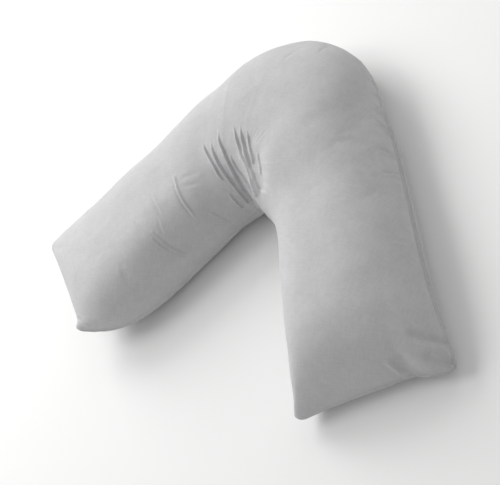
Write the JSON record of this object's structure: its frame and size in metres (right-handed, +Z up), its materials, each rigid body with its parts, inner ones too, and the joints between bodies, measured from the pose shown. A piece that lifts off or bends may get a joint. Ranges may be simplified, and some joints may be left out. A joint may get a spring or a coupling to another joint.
{
  "type": "v shaped pillow",
  "caption": "V shaped filled bed pillow of pale plain-weave cotton: two soft arms that meet in a rounded bend, lying on its back.",
  "frame": {"origin": "on the surface that the pillow lies on, under the middle of its outline", "axes": "+Z up out of the surface, +Y from the open side of the V towards its bend, +X across both arms"},
  "size_m": [0.901, 0.642, 0.144],
  "materials": {
    "cotton_cover": "pale neutral grey plain-weave cotton, matt, sewn over a soft fibre filling"
  },
  "bodies": {
    "root": {"pillow": "cotton_cover"}
  },
  "joints": []
}
